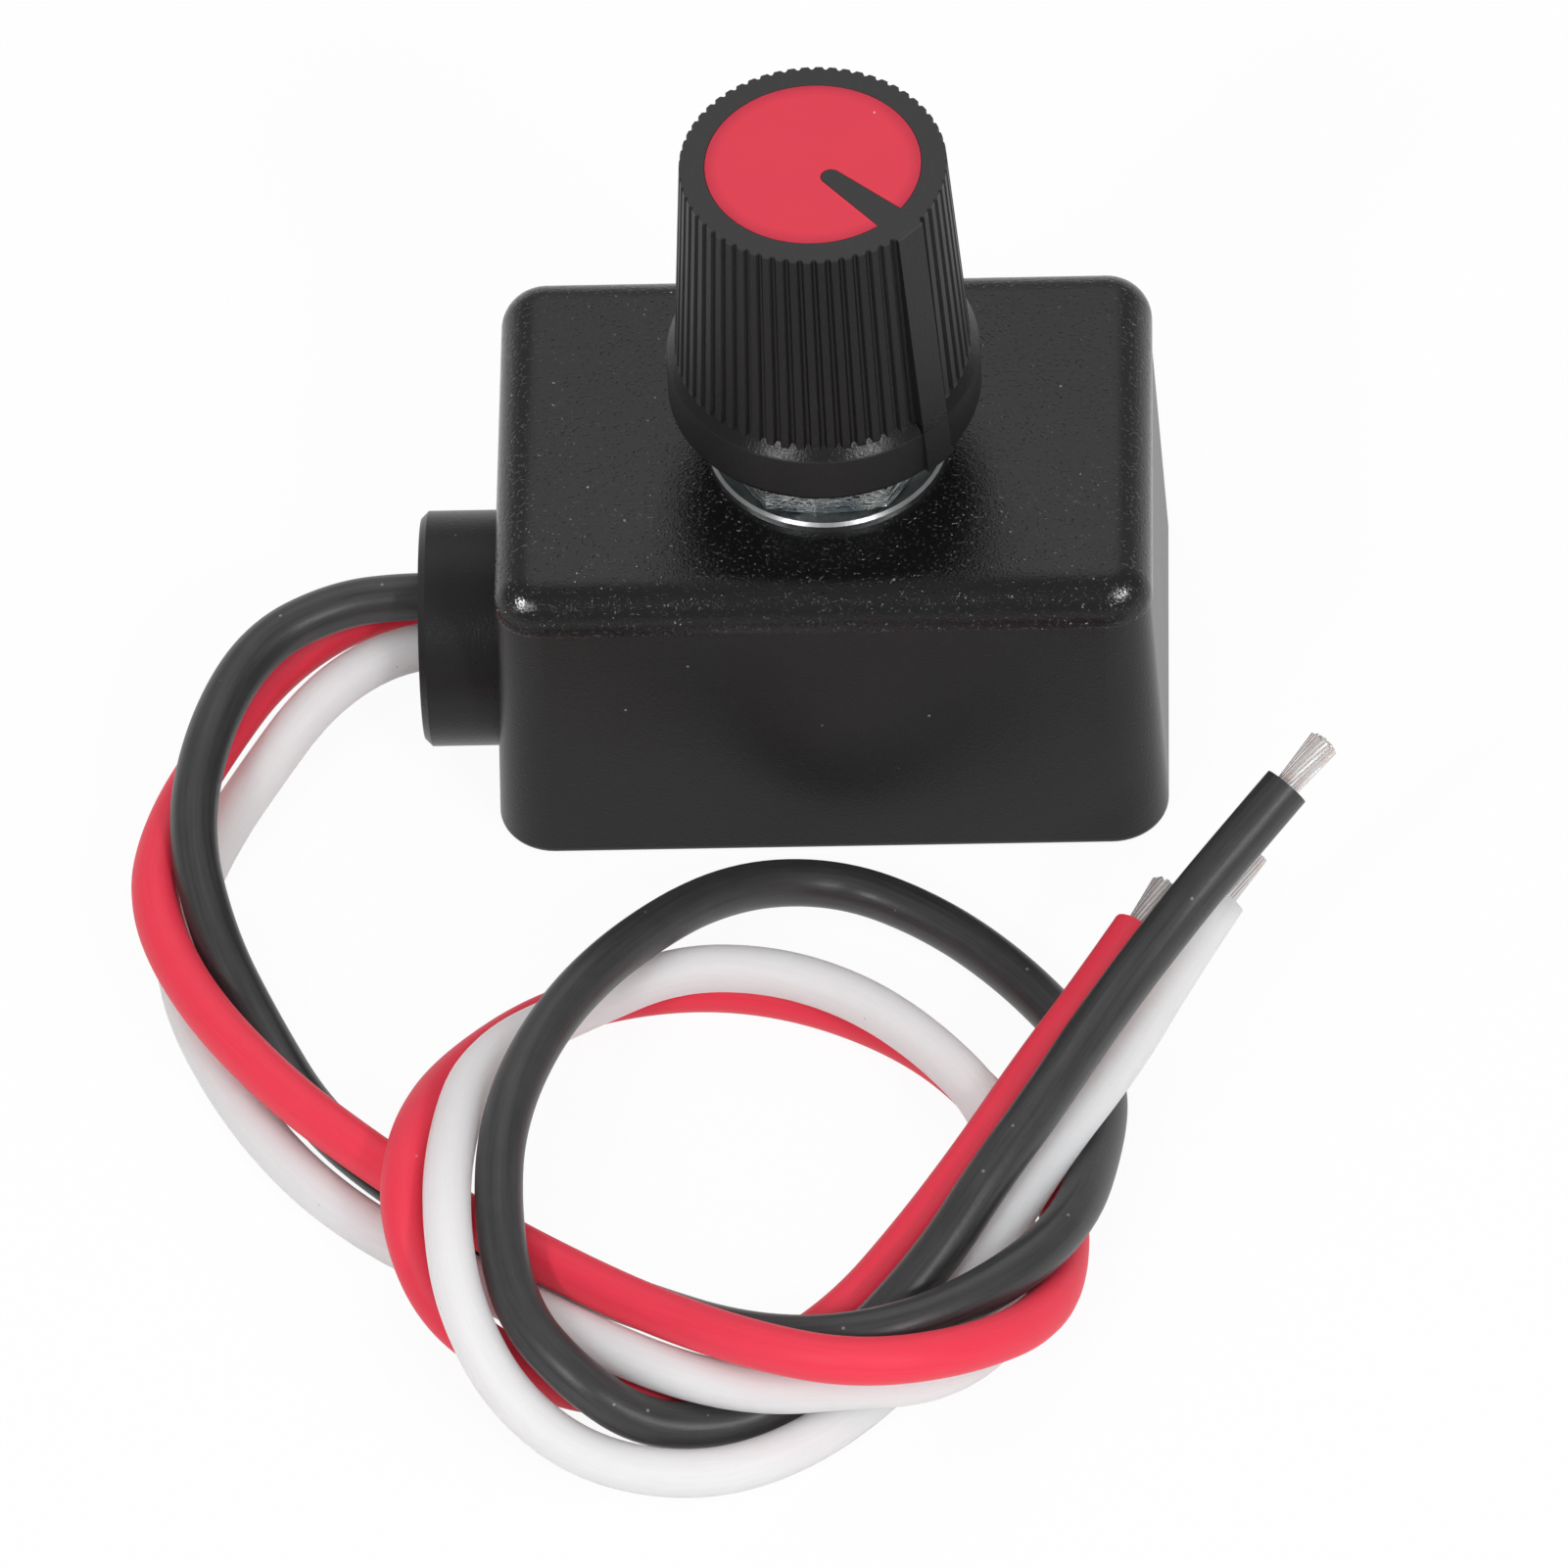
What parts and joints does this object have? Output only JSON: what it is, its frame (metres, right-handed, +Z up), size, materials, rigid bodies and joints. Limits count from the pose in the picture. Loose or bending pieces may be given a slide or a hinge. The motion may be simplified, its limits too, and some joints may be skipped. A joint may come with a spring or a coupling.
{
  "type": "rotary dimmer",
  "caption": "Small moulded black box with a fluted red-capped rotary knob and knotted silicone lead wires from a side sleeve, for dimming low-voltage lights.",
  "frame": {"origin": "on the knob's axis, on the flat underside of the box", "axes": "+Z up along the knob's axis, +X to the right with the cable sleeve on the -X side, +Y to the back"},
  "size_m": [0.0581, 0.064, 0.0367],
  "materials": {
    "housing_plastic": "fine moulded texture",
    "knob_plastic": "satin",
    "cap_red": "satin",
    "zinc_plate": "bright zinc plate",
    "zinc_casting": "cast",
    "plated_steel": "plated",
    "shaft_aluminium": "turned",
    "phenolic": "matt",
    "rotor_plastic": "moulded",
    "brass_strip": "bright",
    "board_green": "solder mask",
    "chip_black": "moulded",
    "capacitor_sleeve": "shrunk sleeve",
    "solder": "bright",
    "silicone_black": "satin silicone",
    "silicone_red": "satin silicone",
    "silicone_white": "satin silicone",
    "tinned_copper": "tinned strands"
  },
  "bodies": {
    "dimmer": {"housing_base": "housing_plastic", "housing_lid": "housing_plastic", "potentiometer_bushing": "zinc_casting", "potentiometer_can": "plated_steel", "potentiometer_wafer": "phenolic", "potentiometer_terminals": "plated_steel", "terminal_rivets": "plated_steel", "mounting_washer": "zinc_plate", "mounting_nut": "zinc_plate", "circuit_board": "board_green", "solder_joints": "solder", "power_transistor": "chip_black", "control_chip": "chip_black", "capacitor": "capacitor_sleeve", "diode": "chip_black", "chip_resistors": "chip_black", "inner_conductors": "tinned_copper", "wire_black": "silicone_black", "wire_red": "silicone_red", "wire_white": "silicone_white", "wire_black_end": "tinned_copper", "wire_red_end": "tinned_copper", "wire_white_end": "tinned_copper"},
    "knob_and_shaft": {"knob": "knob_plastic", "knob_cap": "cap_red", "potentiometer_shaft": "shaft_aluminium", "shaft_retaining_ring": "plated_steel", "potentiometer_rotor": "rotor_plastic", "wiper_spring": "brass_strip"}
  },
  "joints": [
    {"name": "knob_turn", "type": "hinge", "parent": "dimmer", "child": "knob_and_shaft", "pos_m": [0, 0, 0], "axis": [0, 0, 1], "range_deg": [-286, 14]}
  ]
}
